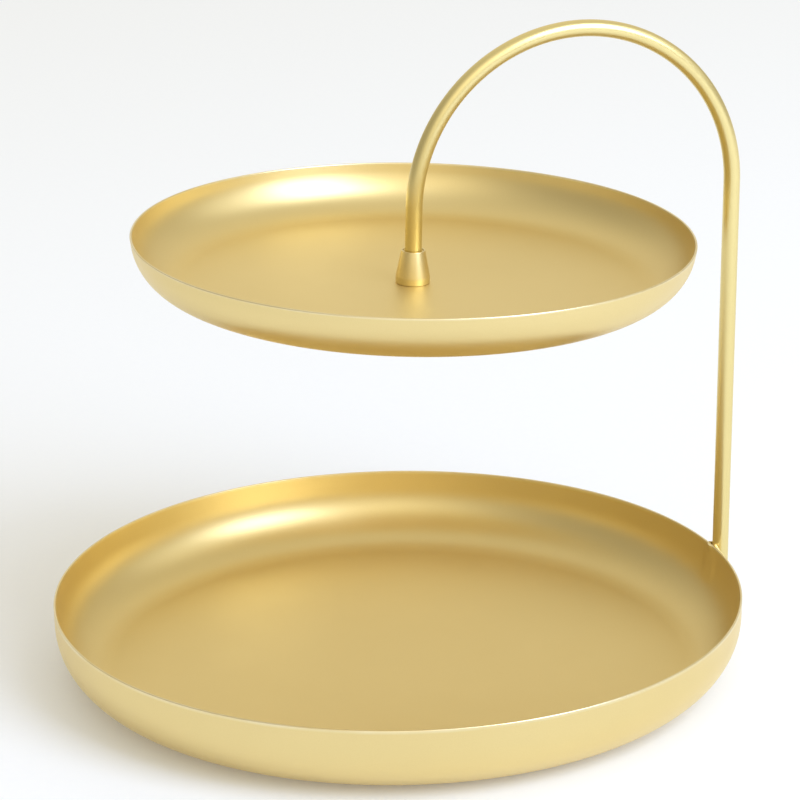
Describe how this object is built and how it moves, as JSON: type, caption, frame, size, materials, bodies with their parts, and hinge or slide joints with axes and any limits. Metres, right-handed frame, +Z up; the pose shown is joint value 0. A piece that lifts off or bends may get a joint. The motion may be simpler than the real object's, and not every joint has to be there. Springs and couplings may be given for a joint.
{
  "type": "two-tier cake stand",
  "caption": "Two round pressed metal trays, the smaller hung above the larger from a bent rod that rises from the lower wall and arches over.",
  "frame": {"origin": "middle of the footprint, on the surface that the feet rest on", "axes": "+Z up, +X towards the rod's leg, and the bent rod lies in the XZ plane"},
  "size_m": [0.2584, 0.25, 0.2345],
  "materials": {
    "satin_gold": "satin gold-coloured coating on steel",
    "screw_steel": "plain zinc-plated steel",
    "nylon": "natural nylon",
    "silicone": "translucent silicone, matt"
  },
  "bodies": {
    "stand": {"lower_tray": "satin_gold", "arch_rod": "satin_gold", "rod_ferrule": "satin_gold", "clamp_screw": "screw_steel", "steel_washer": "screw_steel", "nylon_washer": "nylon", "weld_bead_front": "satin_gold", "weld_bead_rear": "satin_gold", "foot_pad_front_left": "silicone", "foot_pad_front_right": "silicone", "foot_pad_rear_left": "silicone", "foot_pad_rear_right": "silicone"},
    "upper_tray": {"upper_tray": "satin_gold"}
  },
  "joints": [
    {"name": "upper_tray_swivel", "type": "hinge", "parent": "stand", "child": "upper_tray", "pos_m": [0.00294, 0, 0.14448], "axis": [0.0314, 0, 0.9995], "continuous": true}
  ]
}
